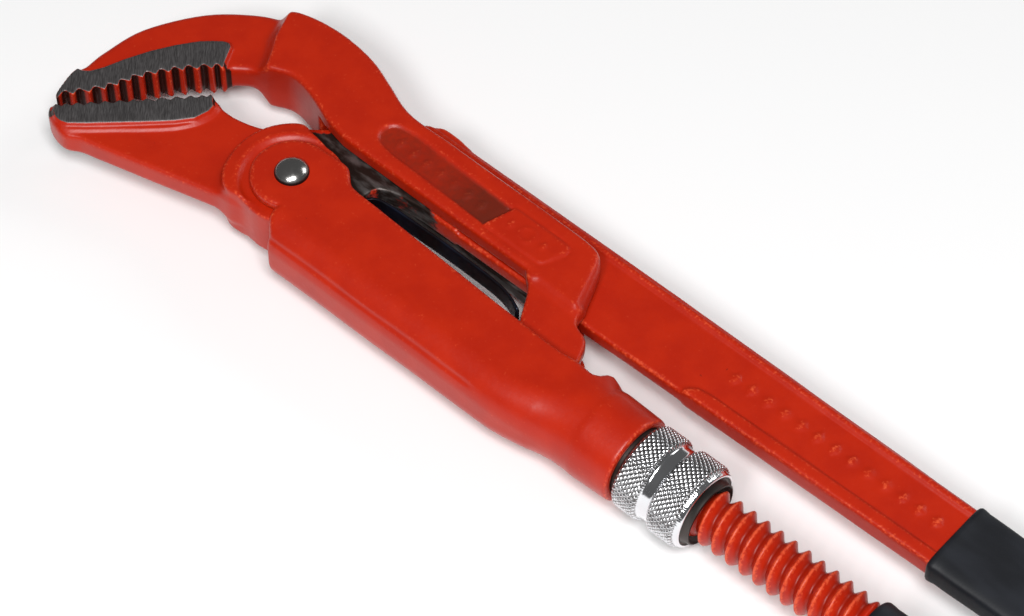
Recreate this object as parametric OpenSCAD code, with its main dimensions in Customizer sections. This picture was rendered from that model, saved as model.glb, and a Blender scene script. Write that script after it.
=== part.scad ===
// Swedish-pattern 45 degree corner pipe wrench.
// X runs along the handles, Y towards the crown of the hook, Z out of the flat of the tool.
// The origin is the centre of the jaws' grip, on the mid-plane of the tool.

/* [Layout] */
// Pivot axis, distance behind the grip centre
pivot_x = 54.7; // [50:0.1:66]
// Pivot axis, height from the grip centre
pivot_y = -3.3; // [-4.5:0.1:-2]
// Height of the threaded rod's axis
rod_y = -7.2; // [-8.5:0.1:-6]
// Rear end of both handle bars
handle_end = 403; // [330:1:490]
// Bare length of rod between the sleeve and the grips
free_rod = 74.2; // [72:0.1:100]

/* [Jaw lever] */
// Thickness of the lower jaw
jaw_t = 8.8; // [7.5:0.1:10]
// Thickness of the shank bar
shank_t = 6.5; // [5:0.1:8]
// Height of the shank where it leaves the cage
shank_h = 23.2; // [20:0.1:24.5]
// Amount the shank loses in height by the handle end
shank_taper = 4.4; // [2:0.1:7]
// Height of the shank's centre line
shank_y = 26.4; // [26:0.1:28]
// Radius of the boss between the ears
boss_r = 14.5; // [13:0.1:15.2]
// Clearance round the boss, inside the sleeve
boss_gap = 0.5; // [0.3:0.1:1]
// Radius of the raised land in front of the boss
land_r = 18.6; // [17:0.1:20]
// Depth of the panel sunk in each side of the shank
panel_depth = 0.8; // [0.3:0.1:1.4]

/* [Hook jaw] */
// Thickness of the hook
hook_t = 8.6; // [7.5:0.1:11]
// Thickness over both cage plates
cage_t = 17.2; // [16:0.1:19]
// Thickness of the leg that runs in the sleeve
leg_t = 15.2; // [13:0.1:17]
// Side clearance between the shank and each cage plate
slot_gap = 0.35; // [0.2:0.05:0.6]

/* [Teeth] */
// Number of teeth on each jaw
tooth_count = 12; // [8:1:15]
// Depth of a tooth on the hook
tooth_depth = 1.9; // [1:0.1:2.4]
// Depth of a tooth on the lower jaw
lower_tooth_depth = 1.1; // [0.8:0.1:1.6]
// Thickness across the ground faces beside the teeth
pad_t = 10.8; // [10:0.1:13]

/* [Sleeve] */
// Wall of the channel's sides and floor
wall = 2.9; // [2:0.1:3.2]
// Radius of the channel's lower corners
channel_corner = 8.3; // [7.8:0.1:9]
// Running clearance between the leg and each side wall
channel_gap = 0.3; // [0.2:0.05:0.5]
// Lowest face of the channel
channel_bottom = -22.3; // [-24:0.1:-21.8]
// Rear end of the sleeve
sleeve_end = 177.3; // [172:0.1:180]
// Outer radius of the tube at its rear end
tube_r = 12; // [11.6:0.1:13]
// Radius of each ear
ear_r = 11.3; // [10:0.1:12.5]

/* [Adjusting nut] */
// Radius over the knurled bands
nut_r = 12.2; // [11.4:0.1:14.4]
// Length of the knurled part
nut_len = 20; // [17:0.1:24]
// Radius of the spigot that turns in the sleeve
spigot_r = 9.8; // [9.2:0.1:10.2]
// Length of the spigot
spigot_len = 13; // [11:0.1:14]
// Running clearance round the spigot
spigot_gap = 0.08; // [0.05:0.01:0.1]

/* [Threaded rod] */
// Crest radius of the thread
crest_r = 7.4; // [7:0.1:7.6]
// Root radius of the thread
root_r = 5.3; // [4.8:0.1:5.8]
// Pitch of the single-start thread
pitch = 4.35; // [4:0.05:5]
// Clearance between rod thread and nut thread
thread_gap = 0.3; // [0.2:0.05:0.35]

/* [Pivot rivet] */
// Radius of the rivet's shank
rivet_r = 3.5; // [3:0.1:4]
// Radius of the domed heads
rivet_head_r = 4.8; // [4.5:0.1:6]
// Height of the domed heads
rivet_head_h = 2.9; // [2:0.1:3.5]
// Running clearance between rivet and boss
rivet_gap = 0.06; // [0.03:0.01:0.09]

/* [Grips and spring] */
// Thickness of the dipped coat
grip_t = 1.1; // [0.8:0.1:2]
// Thickness of the leaf spring
spring_t = 1; // [0.8:0.1:1.2]
// Width of the leaf spring
spring_w = 6.4; // [4:0.1:6.5]
// Radius of the spring's rivet
spring_rivet_r = 1.3; // [1:0.1:1.6]

/* [Hidden] */

round_fn = 72;
paint = "orangered";
black = "#202022";
steel = "silver";

pivot = [pivot_x, pivot_y];
slot_half = shank_t / 2 + slot_gap;
channel_half = leg_t / 2 + channel_gap;
sleeve_half = channel_half + wall;
grip_start = sleeve_end + free_rod;
shank_front = pivot_x + 12;
neck_rear = pivot_x + 15.5;

// Rear of the leg, where the round rod begins, and where its thread begins
leg_rear = 151;
leg_bottom = -15;
thread_start = 158;

// Where the channel ends and where the tube begins
channel_rear = 146;
tube_front = 160;
nut_face = sleeve_end + 1.5;
nut_tail = 3.2;
spigot_front = nut_face - spigot_len;
seat_r = spigot_r + spigot_gap;
ring_wire_r = 0.8;
ring_x = spigot_front + 4;
thread_turns = floor((grip_start - thread_start) / pitch - 0.6);
seg = 24;

// A smooth run through the points: Catmull-Rom, with the end points passed through too
function cr(a, b, c, d, t) = 0.5 * (2 * b + (c - a) * t + (2 * a - 5 * b + 4 * c - d) * t * t
    + (3 * b - a - 3 * c + d) * t * t * t);
function smooth(p, n) = let (m = len(p) - 1) concat([for (i = [0:m - 1]) for (k = [0:n - 1])
    cr(p[max(i - 1, 0)], p[i], p[i + 1], p[min(i + 2, m)], k / n)], [p[m]]);

// Point and left-hand normal on the same curve, where t runs from 0 to 1 over its whole length
function bow(p, t) = let (m = len(p) - 1, u = min(max(t, 0), 0.9999) * m, i = floor(u))
    cr(p[max(i - 1, 0)], p[i], p[i + 1], p[min(i + 2, m)], u - i);
function bow_n(p, t) = let (d = bow(p, t + 0.01) - bow(p, t - 0.01)) [-d.y, d.x] / norm(d);

// Saw teeth along a curve through their tips, with each gullet set off to one side of it
function teeth(p, side, depth, lean) = [for (i = [0:tooth_count - 1]) each [
    bow(p, i / tooth_count),
    bow(p, (i + lean) / tooth_count) + side * depth * bow_n(p, (i + lean) / tooth_count)]];

// Outline of a rod's helical ridge, carried round the X axis
module helix_ridge(r_in, r_out, turns, half_in, half_out) {
    n = turns * seg;
    section = [[r_in, -half_in], [r_out, -half_out], [r_out, half_out], [r_in, half_in]];
    points = [for (i = [0:n]) let (a = i * 360 / seg) for (p = section)
        [i * pitch / seg + p[1], p[0] * cos(a), p[0] * sin(a)]];
    sides = [for (i = [0:n - 1]) for (k = [0:3]) let (b = 4 * i + k, c = 4 * i + (k + 1) % 4)
        each [[b, c, c + 4], [b, c + 4, b + 4]]];
    last = 4 * n;
    polyhedron(points, concat([[3, 2, 1, 0]], sides, [[last, last + 1, last + 2, last + 3]]));
}

// A flat piece of the given thickness, centred on the mid-plane
module slab(t) {
    linear_extrude(height = t, center = true) children();
}

// A round bar along X on the rod's axis
module bar(x0, x1, r0, r1) {
    translate([x0, rod_y, 0]) rotate([0, 90, 0]) cylinder(h = x1 - x0, r1 = r0, r2 = r1, $fn = round_fn);
}

// A disc on the pivot axis
module disc(r, t) {
    translate([pivot_x, pivot_y, -t / 2]) cylinder(r = r, h = t, $fn = round_fn);
}

lower_teeth_line = [[16.4, 4.6], [2, -10.5], [-12.2, -25]];
upper_teeth_line = [[12.6, 13.1], [5.2, 5.4], [-1.3, -3.4], [-5.9, -13.2], [-13, -22.6]];

// Edge of the ground face on each jaw, carried past the teeth
lower_pad = [[16.6, 4.2], [18.7, 3.3], [20.1, 2.2], [20.4, 0], [19.3, -4.2], [15.7, -8.6], [10, -14.2], [4.2, -19.7],
    [-1.7, -25.2], [-5.4, -28.3], [-7.2, -28.9], [-9.2, -28.8], [-11.2, -27.6], [-12.2, -26.2], [-12.2, -24],
    [0, -10], [12, 4]];
upper_pad = [[-13.2, -25], [-14.5, -23.8], [-15.5, -20.4], [-16.4, -17.8], [-16.9, -15.8], [-16.7, -14.3],
    [-15.8, -13], [-13.9, -11.4], [-11.9, -7.9], [-9.6, -1.8], [-6.6, 4.6], [-3, 10.5], [1, 15.9], [3.4, 18.2],
    [6, 20.4], [7.7, 21], [9.1, 20.3], [11.7, 15], [12.9, 12.7], [6, 2], [-2, -12], [-11, -25]];

// ---- Lower jaw, boss, neck and shank, forged in one ----

module lower_jaw_outline() {
    polygon(concat(
        teeth(lower_teeth_line, 1, lower_tooth_depth, 0.43),
        smooth([[-12.3, -25.4], [-13.6, -26.6], [-12.6, -28.4], [-9.3, -30], [-4.3, -30.8], [-0.3, -28.8], [4, -27.7]], 4),
        [[40.9, -17.9], [pivot_x, pivot_y - boss_r + 2], pivot, [43, 9]],
        smooth([[38.4, 11], [34.4, 6.8], [26, 4.3], [18, 4.5]], 4)));
}

module shank_outline() {
    top = shank_y + shank_h / 2;
    low = shank_y - shank_h / 2;
    fall = shank_taper / 2;
    polygon(concat(
        [[pivot_x - 14, 12.4], [pivot_x + 10.6, 35.6]],
        smooth([[shank_front + 1.4, top - 0.2], [shank_front + 4, top + 1.2],
            [shank_front + 9, top + 1.2], [shank_front + 15, top + 0.3]], 3),
        [[handle_end - 6, top - fall], [handle_end - 1.5, top - fall - 1.5], [handle_end, top - fall - 6],
        [handle_end, low + fall + 6], [handle_end - 1.5, low + fall + 1.5], [handle_end - 6, low + fall]],
        smooth([[pivot_x + 30, low], [pivot_x + 22, 13.8], [pivot_x + 17, 11.8], [neck_rear, 8]], 4),
        [[neck_rear, -9], [pivot_x + 8, -12], pivot, [pivot_x - 10, 6]]));
}

// Panel between the ribs, behind the cage
module shank_panel() {
    rib = 3.6;
    x0 = leg_rear + 21;
    x1 = grip_start - 6;
    for (s = [-1, 1]) translate([0, 0, s * shank_t / 2]) slab(2 * panel_depth)
        polygon([[x0, shank_y - shank_h / 2 + rib + 1.4], [x1, shank_y - shank_h / 2 + rib + 2.4],
            [x1, shank_y + shank_h / 2 - rib - 1.2], [x0, shank_y + shank_h / 2 - rib]]);
}

// Three-sided hollow in each face of the lower jaw
module jaw_hollow() {
    for (s = [-1, 1]) translate([0, 0, s * jaw_t / 2]) slab(2 * 1.4)
        polygon([[-1, -26.4], [25, -1], [32, -1.5], [36, -8], [38, -15.8]]);
}

module jaw_lever() {
    color(paint) difference() {
        union() {
            slab(jaw_t) lower_jaw_outline();
            slab(pad_t) intersection() {
                lower_jaw_outline();
                polygon(lower_pad);
            }
            slab(shank_t) shank_outline();
            disc(boss_r, leg_t);
            intersection() {
                difference() {
                    union() {
                        translate([pivot_x, pivot_y, 0]) cylinder(r1 = land_r, r2 = land_r - 2,
                            h = cage_t / 2, $fn = round_fn);
                        translate([pivot_x, pivot_y, -cage_t / 2]) cylinder(r1 = land_r - 2, r2 = land_r,
                            h = cage_t / 2, $fn = round_fn);
                    }
                    for (s = [-1, 1]) translate([0, 0, s * (leg_t / 2 + 5)]) disc(boss_r - 1, 10);
                }
                slab(40) translate([pivot_x, 0]) polygon([[-34, 8.7], [-4.7, 8.7], [-4.7, -14.2], [-9.5, -15],
                    [-14, -14], [-34, -19]]);
            }
        }
        disc(rivet_r + rivet_gap, 40);
        shank_panel();
        jaw_hollow();
        spring_hole();
    }
}

// ---- Hook, shoulder, cage and leg, forged in one ----

module hook_outline() {
    polygon(concat(
        smooth([[-13.4, -24.2], [-14.9, -22.7], [-16.4, -17.8], [-16.9, -15], [-16.9, -9.4], [-16.8, -3], [-14.6, 9.8],
            [-5.6, 24.9], [5.3, 34.4], [14.4, 38.6]], 6),
        [[26, 40], [30, 30], [28, 23]],
        smooth([[24, 21], [18.6, 18.6], [15, 16], [13.4, 14.4]], 3),
        teeth(upper_teeth_line, -1, tooth_depth, 0.62)));
}

module cage_outline() {
    polygon(concat(
        smooth([[18.2, 29.2], [15.4, 37], [15, 39.4], [16.8, 41.2], [24.6, 42.4], [33.5, 42.6], [43.5, 40.9],
            [52.3, 37.6], [60.5, 34.2], [67.2, 33.2], [76.5, 33.4]], 5),
        smooth([[124, 32.8], [129.8, 32.2], [133, 30.4], [135.6, 26.6], [140, 16]], 4),
        [[140.4, 12.6], [122.4, 13.6], [120.6, 15.1], [62, 15.6]],
        smooth([[55, 15.8], [47.1, 17.6], [38, 20.9], [30, 22.2]], 4),
        [[23, 19.6]]));
}

module leg_outline() {
    polygon([[122, 15.4], [125.6, 9.9], [129.6, 2.4], [131.5, -3], [131.5, leg_bottom + 3], [134.5, leg_bottom],
        [147.5, leg_bottom], [leg_rear, leg_bottom + 3], [leg_rear, -0.6], [149.2, 3.7], [146.7, 8.7], [141.5, 11.2], [139.6, 16]]);
}

// Space in which the neck and shank swing, between the two plates
module slot_outline() {
    floor_y = 3;
    polygon([[34.2, 7.6], [58, 37.5], [58, 60], [170, 60], [170, floor_y], [118, floor_y], [118, 0], [34.2, 0]]);
}

module hook_jaw() {
    color(paint) difference() {
        union() {
            slab(hook_t) hook_outline();
            slab(pad_t) intersection() {
                hook_outline();
                polygon(upper_pad);
            }
            slab(cage_t) cage_outline();
            slab(leg_t) leg_outline();
        }
        slab(2 * slot_half) slot_outline();
    }
}

module threaded_rod() {
    color(paint) {
        bar(leg_rear, thread_start - 1, crest_r, crest_r);
        bar(thread_start - 1.5, grip_start + 2, root_r, root_r);
        bar(grip_start - 1, handle_end - 3, crest_r, crest_r);
        translate([thread_start, rod_y, 0])
            helix_ridge(root_r - 0.5, crest_r, thread_turns, pitch * 0.46, pitch * 0.12);
    }
}

// ---- Sleeve with two ears, and the nut that it holds ----

module sleeve_side() {
    polygon(concat(
        [[pivot_x + 5.3, -17.7], [pivot_x + 7.3, -19.9], [pivot_x + 8.6, channel_bottom + 1.6],
        [pivot_x + 10.5, channel_bottom]],
        [[channel_rear, channel_bottom], [channel_rear, 0.2], [pivot_x + 63.5, 1.3], [pivot_x + 24, 3.6],
        [pivot_x + 14.2, 4.3], [pivot_x + 11.3, 6.9], [pivot_x + 9.3, 8.2], [pivot_x, pivot_y + ear_r],
        [pivot_x - 8, pivot_y], [pivot_x - 5, pivot_y - 10]]));
}

// Section of the channel with its lower corners rounded; a positive inset gives the hollow inside it
module sleeve_section(inset = 0) {
    mid = sleeve_half - channel_corner;
    r = channel_corner - inset;
    translate([0, channel_bottom + channel_corner]) {
        for (s = [-1, 1]) translate([s * mid, 0]) circle(r = r, $fn = 48);
        translate([-mid - r, 0]) square([2 * (mid + r), 50]);
        translate([-mid, -r]) square([2 * mid, 2 * r]);
    }
}

module sleeve() {
    color(paint) difference() {
        union() {
            intersection() {
                union() {
                    slab(2 * sleeve_half) sleeve_side();
                    disc(ear_r, 2 * sleeve_half);
                }
                rotate([0, 90, 0]) linear_extrude(height = 220) sleeve_section();
            }
            bar(tube_front, sleeve_end, tube_r + 0.5, tube_r);
            hull() {
                translate([channel_rear - 0.1, 0, 0]) rotate([0, 90, 0]) linear_extrude(height = 0.1)
                    intersection() {
                        sleeve_section();
                        translate([-20, -40]) square([40, 40.2]);
                    }
                translate([tube_front, rod_y, 0]) rotate([0, 90, 0]) cylinder(r = tube_r + 0.5, h = 0.1, $fn = 32);
            }
        }
        rotate([0, 90, 0]) linear_extrude(height = leg_rear + 1) sleeve_section(wall);
        disc(boss_r + boss_gap, 2 * channel_half);
        translate([leg_rear, 0.9, -channel_half]) cube([tube_front - 3 - leg_rear, 60, 2 * channel_half]);
        bar(leg_rear, sleeve_end, crest_r + 0.6, crest_r + 0.6);
        bar(spigot_front - 1, sleeve_end + 1, seat_r, seat_r);
        bar(sleeve_end - 1.2, sleeve_end + 0.1, seat_r, seat_r + 1.2);
        nut_ring_space(0);
        disc(rivet_r, 40);
    }
}

// The round groove that the ring lies in, opened by a clearance
module nut_ring_space(gap) {
    translate([ring_x, rod_y, 0]) rotate([0, 90, 0]) rotate_extrude($fn = round_fn)
        translate([spigot_r, 0]) circle(r = ring_wire_r + gap, $fn = 32);
}

module nut_ring() {
    color(steel) nut_ring_space(0);
}

module pivot_rivet() {
    dome_r = (rivet_head_r * rivet_head_r + rivet_head_h * rivet_head_h) / (2 * rivet_head_h);
    color(steel) {
        disc(rivet_r, 2 * sleeve_half);
        for (s = [0, 1]) translate([pivot_x, pivot_y, 0]) mirror([0, 0, s]) intersection() {
            translate([0, 0, sleeve_half + rivet_head_h - dome_r]) sphere(r = dome_r, $fn = round_fn);
            translate([0, 0, sleeve_half]) cylinder(r = rivet_head_r + 1, h = rivet_head_h + 1, $fn = round_fn);
        }
    }
}

module adjusting_nut() {
    band = 7.5;
    groove = 3.7;
    rear = nut_face + nut_len;
    first = floor((spigot_front - thread_start) / pitch) - 1;
    turns = ceil((rear - thread_start) / pitch) - first;
    color(steel) difference() {
        union() {
            bar(spigot_front, nut_face + 1, spigot_r, spigot_r);
            bar(nut_face, nut_face + band, nut_r, nut_r);
            bar(nut_face + band, nut_face + band + groove, nut_r - 1.4, nut_r - 1.4);
            bar(nut_face + band + groove, rear, nut_r, nut_r);
            bar(rear, rear + nut_tail, nut_r, nut_r - 1.8);
        }
        bar(spigot_front - 1, rear + nut_tail + 1, root_r + thread_gap, root_r + thread_gap);
        bar(rear - 3, rear + nut_tail + 1, crest_r + 1.4, crest_r + 1.4);
        nut_ring_space(0.3);
        translate([thread_start + first * pitch, rod_y, 0]) helix_ridge(root_r - 0.3,
            crest_r + thread_gap, turns, pitch * 0.46 + 0.15, pitch * 0.12 + 0.2);
    }
}

// ---- Leaf spring under the shank, and its rivet ----

// Height of the spring's rivet on the rear face of the neck
spring_rivet_y = -2.5;

// Centre line of the spring: up the neck, round under the shank, and back to rest on the leg
spring_line = concat([[neck_rear + spring_t / 2, -8.5]],
    smooth([[neck_rear + spring_t / 2, 4.6], [neck_rear + 1.4, 7.8], [neck_rear + 4, 9.5], [neck_rear + 9, 10]], 4),
    smooth([[neck_rear + 25, 10], [neck_rear + 42, 9.2], [neck_rear + 49, 7.9], [neck_rear + 55, 5.7]], 3));

// A strip of even thickness along a line of points
module ribbon(line, t) {
    last = len(line) - 1;
    n = [for (i = [0:last]) let (d = line[min(i + 1, last)] - line[max(i - 1, 0)]) [-d.y, d.x] / norm(d)];
    polygon(concat([for (i = [0:last]) line[i] + n[i] * t / 2], [for (i = [last:-1:0]) line[i] - n[i] * t / 2]));
}

module leaf_spring() {
    color(black) difference() {
        slab(spring_w) ribbon(spring_line, spring_t);
        spring_hole();
    }
}

module spring_hole() {
    translate([neck_rear - 8, spring_rivet_y, 0]) rotate([0, 90, 0]) cylinder(r = spring_rivet_r, h = 12, $fn = 32);
}

module spring_rivet() {
    face = neck_rear + spring_t;
    color(steel) translate([0, spring_rivet_y, 0]) rotate([0, 90, 0]) {
        translate([0, 0, neck_rear - 8]) cylinder(r = spring_rivet_r, h = face + 8.2 - neck_rear, $fn = 32);
        translate([0, 0, face]) cylinder(r1 = spring_rivet_r + 0.9, r2 = spring_rivet_r + 0.3, h = 0.9, $fn = 32);
    }
}

// ---- Dipped grips ----

module upper_grip() {
    fall = shank_taper / 2;
    half = shank_h / 2;
    k = fall / (handle_end - (pivot_x + 28));
    rise = k * (grip_start - (pivot_x + 28));
    x0 = grip_start;
    x1 = handle_end + grip_t;
    color(black) difference() {
        slab(shank_t + 2 * grip_t) polygon([[x0, shank_y - half + rise - grip_t], [x0, shank_y + half - rise + grip_t],
            [x1 - 7, shank_y + half - fall + grip_t], [x1 - 1.7, shank_y + half - fall + grip_t - 1.7],
            [x1, shank_y + half - fall - 6], [x1, shank_y - half + fall + 6],
            [x1 - 1.7, shank_y - half + fall - grip_t + 1.7], [x1 - 7, shank_y - half + fall - grip_t]]);
        slab(shank_t) shank_outline();
    }
}

module lower_grip() {
    color(black) difference() {
        union() {
            bar(grip_start, handle_end - 3, crest_r + grip_t, crest_r + grip_t);
            bar(handle_end - 3, handle_end + grip_t, crest_r + grip_t, crest_r - 2);
        }
        bar(grip_start - 1, handle_end - 3, crest_r, crest_r);
    }
}

jaw_lever();
upper_grip();
leaf_spring();
spring_rivet();
sleeve();
pivot_rivet();
nut_ring();
adjusting_nut();
hook_jaw();
threaded_rod();
lower_grip();
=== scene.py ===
import math

import bpy
import numpy as np
from bpy.props import FloatProperty, FloatVectorProperty, IntProperty, PointerProperty
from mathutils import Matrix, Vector


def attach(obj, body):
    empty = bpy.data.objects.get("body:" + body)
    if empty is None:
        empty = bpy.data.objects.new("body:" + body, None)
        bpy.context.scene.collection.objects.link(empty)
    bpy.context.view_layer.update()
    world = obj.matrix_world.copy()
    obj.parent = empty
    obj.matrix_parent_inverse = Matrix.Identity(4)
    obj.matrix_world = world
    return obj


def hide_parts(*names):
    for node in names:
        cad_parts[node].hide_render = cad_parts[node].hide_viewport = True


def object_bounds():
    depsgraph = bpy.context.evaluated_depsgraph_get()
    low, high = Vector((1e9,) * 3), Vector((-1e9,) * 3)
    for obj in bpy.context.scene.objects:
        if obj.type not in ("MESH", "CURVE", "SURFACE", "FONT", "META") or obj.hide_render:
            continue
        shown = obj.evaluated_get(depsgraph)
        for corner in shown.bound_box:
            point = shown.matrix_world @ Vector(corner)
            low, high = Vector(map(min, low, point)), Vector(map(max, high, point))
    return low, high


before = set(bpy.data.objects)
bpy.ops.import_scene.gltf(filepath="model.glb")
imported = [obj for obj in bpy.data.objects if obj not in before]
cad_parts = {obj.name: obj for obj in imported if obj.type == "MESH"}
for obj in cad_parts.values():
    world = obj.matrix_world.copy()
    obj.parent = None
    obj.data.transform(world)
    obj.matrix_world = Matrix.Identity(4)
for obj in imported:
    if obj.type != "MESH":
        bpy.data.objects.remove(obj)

bl_info = {
    "name": "Corner pipe wrench",
    "version": (1, 0, 0),
    "blender": (4, 5, 0),
    "location": "View3D > Sidebar > Wrench",
    "description": "Forgings, sleeve, knurled nut, threaded handle and finishes of a corner pipe wrench",
    "category": "Object",
}

CAD_BOX = [list(corner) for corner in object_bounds()]

# Sizes below are in millimetres, in the frame of the CAD model
MM = 0.001
PIVOT = (54.7, -3.3)
ROD_Y = -7.2
PITCH = 4.35
THREAD_START = 158.0
CREST_R = 7.4
ROOT_R = 5.3
SLEEVE_END = 177.3
NUT_FACE = SLEEVE_END + 1.5
GRIP_START = 251.5
HANDLE_END = 403.0
SHANK_Y = 26.4
SLOT_HALF = 3.6
LEG_HALF = 7.6
CAGE_HALF = 8.6
SLEEVE_HALF = 10.8
EAR_R = 11.3
BOSS_R = 14.3
BOSS_HALF = 7.45
RIVET_HOLE_R = 3.9
HEAD_R = 4.75
HEAD_HEIGHT = 2.95
NUT_R = 12.15
ROD_START = 150.5
ROD_END = 400
SPRING_HALF = 0.48
SPRING_HALF_WIDTH = 3.15
# Height below which the flat sides between the forgings rub
SIDE_LEVEL = 4.0
# Mark for a point that no ground face comes near
NEVER_BARE = -9.0
# Points round the rivet and the rod, and round the grips
ROUND = 72
GRIP_AROUND = 96


# ---- Outlines and fields ----

def smooth_run(points, steps=6):
    """Points on a Catmull-Rom curve: each span is the cubic that passes through its two ends
    and is parallel there to the line between the neighbours."""
    p = np.array(points, float)
    p = np.vstack([p[0], p, p[-1]])
    t = (np.arange(steps) / steps)[None, :, None]
    a, b, c, d = (p[i:len(p) - 3 + i, None, :] for i in range(4))
    run = 0.5 * (2 * b + (c - a) * t + (2 * a - 5 * b + 4 * c - d) * t ** 2 + (3 * b - a - 3 * c + d) * t ** 3)
    return np.vstack([run.reshape(-1, 2), p[-1]])


def tooth_run(tips, side, count, depth, lean):
    """Saw teeth along a smooth run through their tips: each gullet is set off along the run's normal, and
    lean is how far along the tooth it lies."""
    run = smooth_run(tips, 40)
    share = np.linspace(0, 1, len(run))

    def at(t):
        return np.stack([np.interp(t, share, run[:, n]) for n in (0, 1)], 1)

    i = np.arange(count)
    gullet = (i + lean) / count
    d = at(gullet + 0.01) - at(gullet - 0.01)
    normal = np.stack([-d[:, 1], d[:, 0]], 1) / np.linalg.norm(d, axis=1)[:, None]
    return np.stack([at(i / count), at(gullet) + side * depth * normal], 1).reshape(-1, 2)


def signed_distance(points, x, y):
    """Distance from each (x, y) to a closed outline, below zero inside it: the least distance to any side,
    with the sign from counting the sides that a line to the right crosses."""
    p = np.array(points, float)
    best = np.full(x.shape, 1e9)
    inside = np.zeros(x.shape, bool)
    for (ax, ay), (bx, by) in zip(p, np.roll(p, -1, 0)):
        ex, ey = bx - ax, by - ay
        length = ex * ex + ey * ey
        if length < 1e-9:
            continue
        wx, wy = x - ax, y - ay
        t = np.clip((wx * ex + wy * ey) / length, 0, 1)
        best = np.minimum(best, (wx - ex * t) ** 2 + (wy - ey * t) ** 2)
        crosses = (ay > y) != (by > y)
        if abs(ey) > 1e-12:
            inside ^= crosses & (x < ax + ex * wy / ey)
    return np.where(inside, -1, 1) * np.sqrt(best)


def ramp(d, width):
    """1 inside a region and 0 outside it, with a smooth rise over the width inside its edge."""
    t = np.clip(-d / width, 0, 1)
    return t * t * (3 - 2 * t)


def both(a, b, r):
    """What is inside a and b, with the edge between them rounded over r."""
    return np.maximum(a, b) + np.maximum(r - np.abs(a - b), 0) ** 2 / (4 * r)


def either(a, b, r):
    """What is inside a or b, with a fillet over r where they meet."""
    return np.minimum(a, b) - np.maximum(r - np.abs(a - b), 0) ** 2 / (4 * r)


class Block:
    """A grid of points round half of a forging, from its mid-plane up: the other half is its mirror image."""

    def __init__(self, xs, ys, zs):
        self.xs, self.ys, self.zs = xs, ys, zs
        self.x, self.y = np.meshgrid(xs, ys, indexing="ij")
        self.z = zs[None, None, :]

    def away(self, outline):
        return signed_distance(outline, self.x, self.y)

    def plate(self, d, half, r=1.0):
        """A plate with the side distance d and the half thickness half, which may both vary over x and y."""
        half = np.broadcast_to(half, self.x.shape)[..., None]
        r = np.broadcast_to(r, self.x.shape)[..., None]
        return both(d[..., None], self.z - half, r)

    def skin(self, field):
        """Surface nets: a corner in each cell that the zero level crosses, at the mean of the crossings on
        the cell's edges, and a quad round each crossed edge of the grid, turned to face outwards."""
        field = np.concatenate([field[..., :0:-1], field], 2)
        axes = [self.xs, self.ys, np.concatenate([-self.zs[:0:-1], self.zs])]
        shape = np.array(field.shape)
        low = field < 0
        count = sum(low[i:shape[0] - 1 + i, j:shape[1] - 1 + j, k:shape[2] - 1 + k].astype(np.int8)
                    for i in (0, 1) for j in (0, 1) for k in (0, 1))
        cells = np.argwhere((count > 0) & (count < 8))
        number = np.full(shape - 1, -1, np.int64)
        number[tuple(cells.T)] = np.arange(len(cells))
        total = np.zeros((len(cells), 3))
        hits = np.zeros((len(cells), 1))
        for axis in range(3):
            u, v = (axis + 1) % 3, (axis + 2) % 3
            for du in (0, 1):
                for dv in (0, 1):
                    start = cells.copy()
                    start[:, u] += du
                    start[:, v] += dv
                    stop = start.copy()
                    stop[:, axis] += 1
                    a, b = field[tuple(start.T)], field[tuple(stop.T)]
                    crossed = (a < 0) != (b < 0)
                    t = np.where(crossed, a / np.where(crossed, a - b, 1), 0)
                    p = np.stack([axes[n][start[:, n]] for n in range(3)], 1)
                    p[:, axis] += t * (axes[axis][stop[:, axis]] - axes[axis][start[:, axis]])
                    total += p * crossed[:, None]
                    hits += crossed[:, None]
        quads = []
        for axis in range(3):
            u, v = (axis + 1) % 3, (axis + 2) % 3
            first = [slice(None)] * 3
            second = [slice(None)] * 3
            first[axis], second[axis] = slice(0, -1), slice(1, None)
            a, b = low[tuple(first)], low[tuple(second)]
            at = np.argwhere(a != b)
            at = at[(at[:, u] > 0) & (at[:, v] > 0) & (at[:, u] < shape[u] - 1) & (at[:, v] < shape[v] - 1)]
            ring = []
            for du, dv in ((-1, -1), (0, -1), (0, 0), (-1, 0)):
                cell = at.copy()
                cell[:, u] += du
                cell[:, v] += dv
                ring.append(number[tuple(cell.T)])
            ring = np.stack(ring, 1)
            outward = a[tuple(at.T)]
            quads.append(np.where(outward[:, None], ring, ring[:, ::-1]))
        return total / hits, np.concatenate(quads)


# ---- Meshes ----

def mean_of_neighbours(values, faces, count):
    """For each point, the mean of the values at the points that it shares an edge with."""
    a = faces.reshape(-1)
    b = np.roll(faces, -1, 1).reshape(-1)
    ends, others = np.concatenate([a, b]), np.concatenate([b, a])
    number = np.maximum(np.bincount(ends, minlength=count), 1)
    return np.stack([np.bincount(ends, values[others, n], count) for n in range(values.shape[1])],
                    1) / number[:, None]


def surface_normals(points, faces):
    """Unit normals at the points: the sum of the cross products of the diagonals of the faces round each."""
    p = points[faces]
    cross = np.cross(p[:, 2] - p[:, 0], p[:, 3] - p[:, 1])
    total = np.stack([np.bincount(faces.reshape(-1), np.repeat(cross[:, n], faces.shape[1]), len(points))
                      for n in range(3)], 1)
    return total / np.maximum(np.linalg.norm(total, axis=1), 1e-12)[:, None]


def bend(points, faces, normals, rounds=2):
    """How far each point stands above the mean of its neighbours along the normal, in millimetres: above zero
    on edges and below it in corners, spread over the neighbours a few times."""
    lift = np.sum((points - mean_of_neighbours(points, faces, len(points))) * normals, 1)[:, None]
    for _ in range(rounds):
        lift = 0.5 * lift + 0.5 * mean_of_neighbours(lift, faces, len(points))
    return lift[:, 0]


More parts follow.
